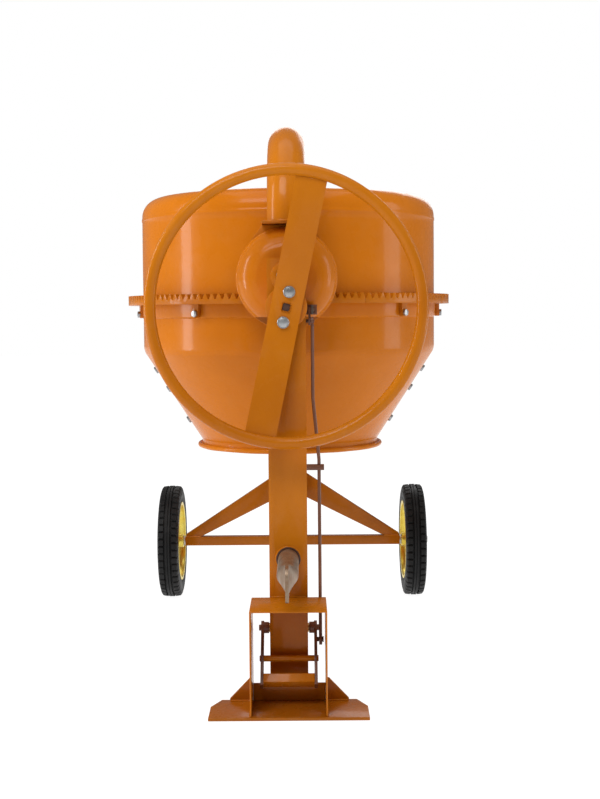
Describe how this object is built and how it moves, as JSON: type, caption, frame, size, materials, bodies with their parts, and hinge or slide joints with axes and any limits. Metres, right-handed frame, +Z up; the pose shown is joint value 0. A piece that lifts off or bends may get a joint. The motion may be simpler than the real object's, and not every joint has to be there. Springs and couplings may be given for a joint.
{
  "type": "concrete mixer",
  "caption": "Towable drum mixer: inverting drum in a tubular yoke, tilted by a geared handwheel, on a foot and two road wheels.",
  "frame": {"origin": "on the ground under the drum's axis, at the middle of the box's base", "axes": "+Z up, -Y towards the operator's handwheel and the tow pipe, +Y towards the road wheels and motor"},
  "size_m": [0.986, 2.04, 1.543],
  "materials": {
    "orange_paint": "glossy orange enamel over sheet and cast steel",
    "orange_cast": "orange enamel over rough castings",
    "shaft_steel": "bare turned steel, lightly greased",
    "zinc": "bright zinc-plated fasteners",
    "gold_zinc": "yellow passivated zinc on pressed rims",
    "galvanised": "galvanised pipe with rust tint",
    "tyre_rubber": "black solid rubber",
    "belt_rubber": "black fabric-backed rubber",
    "brown_primer": "reddish-brown paint on linkage parts",
    "motor_grey": "grey-blue enamel on the motor",
    "bronze": "sintered bronze bushes",
    "friction_lining": "dark steel plunger with brake lining",
    "spring_steel": "oiled spring steel"
  },
  "bodies": {
    "frame": {"foot_plate": "orange_paint", "foot_webs": "orange_paint", "front_column": "orange_paint", "rear_column": "orange_paint", "backbone_tube": "orange_paint", "tow_pipe_guide": "orange_paint", "tow_pipe_clamp": "galvanised", "bearing_sleeves": "orange_paint", "pedal_bushes": "bronze", "pedal_guard": "orange_paint", "axle_beam": "orange_paint", "axle_braces": "orange_paint", "axle_stubs": "shaft_steel", "wheel_retainers": "zinc", "tilt_gear_cover": "orange_paint", "brake_brackets": "brown_primer", "brake_spring": "spring_steel", "motor_body": "motor_grey", "motor_shelf": "orange_paint", "hood_back_plate": "orange_paint", "hood_hinges": "zinc", "drive_belt": "belt_rubber"},
    "yoke": {"yoke_tube": "orange_paint", "yoke_end_plate_front": "orange_paint", "yoke_end_plate_rear": "orange_paint", "front_trunnion": "shaft_steel", "rear_trunnion": "orange_paint", "pinion_shaft_bushes": "bronze", "tilt_gear": "orange_cast", "drum_bearing_housing": "orange_cast"},
    "drum": {"drum_head_shell": "orange_paint", "drum_cone_shell": "orange_paint", "mouth_ring": "orange_paint", "ring_gear": "orange_cast", "drum_spindle": "shaft_steel", "drum_bolts": "zinc", "mixing_blades": "orange_paint"},
    "pinion": {"drive_pinion": "shaft_steel", "pinion_shaft": "shaft_steel", "driven_pulley": "orange_cast"},
    "motor_rotor": {"motor_pulley": "orange_cast", "motor_shaft": "shaft_steel"},
    "handwheel": {"handwheel_ring": "orange_paint", "handwheel_spoke": "orange_paint", "handwheel_hub": "orange_paint", "handwheel_bolts": "zinc", "handwheel_shaft": "shaft_steel", "tilt_pinion": "shaft_steel"},
    "wheel_left": {"tyre_left": "tyre_rubber", "wheel_rim_left": "gold_zinc"},
    "wheel_right": {"tyre_right": "tyre_rubber", "wheel_rim_right": "gold_zinc"},
    "pedal": {"pedal_levers": "brown_primer", "pedal_shafts": "brown_primer", "pedal_tread": "orange_paint"},
    "pull_rod": {"pull_rod": "brown_primer"},
    "brake_crank": {"brake_crank": "brown_primer"},
    "brake_plunger": {"brake_plunger": "friction_lining"},
    "tow_pipe": {"tow_pipe": "galvanised"},
    "hood": {"motor_hood": "orange_paint"}
  },
  "joints": [
    {"name": "tilt", "type": "hinge", "parent": "frame", "child": "yoke", "pos_m": [0, 0, 1.11595], "axis": [0, 1, 0], "range_deg": [-180, 180]},
    {"name": "drum_spin", "type": "hinge", "parent": "yoke", "child": "drum", "pos_m": [0, 0, 1.2], "axis": [0, 0, 1], "continuous": true},
    {"name": "pinion_spin", "type": "hinge", "parent": "yoke", "child": "pinion", "pos_m": [0, 0.47, 1.11595], "axis": [0, 1, 0], "continuous": true},
    {"name": "motor_spin", "type": "hinge", "parent": "frame", "child": "motor_rotor", "pos_m": [0, 0.71, 0.73995], "axis": [0, 1, 0], "continuous": true},
    {"name": "handwheel_turn", "type": "hinge", "parent": "frame", "child": "handwheel", "pos_m": [0, -0.7, 1.03595], "axis": [0, 1, 0], "range_deg": [-421, 421]},
    {"name": "wheel_left_spin", "type": "hinge", "parent": "frame", "child": "wheel_left", "pos_m": [-0.436, 0.63, 0.2], "axis": [1, 0, 0], "continuous": true},
    {"name": "wheel_right_spin", "type": "hinge", "parent": "frame", "child": "wheel_right", "pos_m": [0.436, 0.63, 0.2], "axis": [1, 0, 0], "continuous": true},
    {"name": "pedal_press", "type": "hinge", "parent": "frame", "child": "pedal", "pos_m": [0, -0.638, 0.189], "axis": [1, 0, 0], "range_deg": [0, 12], "stiffness_Nm_per_rad": 60, "springref_deg": -8.59},
    {"name": "rod_pull", "type": "slide", "parent": "frame", "child": "pull_rod", "axis": [0, 0, -1], "range_m": [0, 0.005]},
    {"name": "crank_turn", "type": "hinge", "parent": "frame", "child": "brake_crank", "pos_m": [0.059, -0.635, 0.99995], "axis": [1, 0, 0], "range_deg": [0, 12]},
    {"name": "brake_release", "type": "slide", "parent": "frame", "child": "brake_plunger", "axis": [0, -1, 0], "range_m": [0, 0.006], "deforming": ["brake_spring"]},
    {"name": "tow_slide", "type": "slide", "parent": "frame", "child": "tow_pipe", "axis": [0, -1, 0], "range_m": [0, 0.3]},
    {"name": "hood_lift", "type": "hinge", "parent": "frame", "child": "hood", "pos_m": [0, 0.6722, 1.30695], "axis": [1, 0, 0], "range_deg": [0, 75]}
  ],
  "couplings": [
    {"joint": "pinion_spin", "follows": "drum_spin", "ratio": 10.286},
    {"joint": "motor_spin", "follows": "drum_spin", "ratio": 41.143},
    {"joint": "handwheel_turn", "follows": "tilt", "ratio": -2.3333},
    {"joint": "rod_pull", "follows": "pedal_press", "m_per_rad": 0.019},
    {"joint": "crank_turn", "follows": "pedal_press", "ratio": 0.76},
    {"joint": "brake_release", "follows": "pedal_press", "m_per_rad": 0.0228}
  ]
}
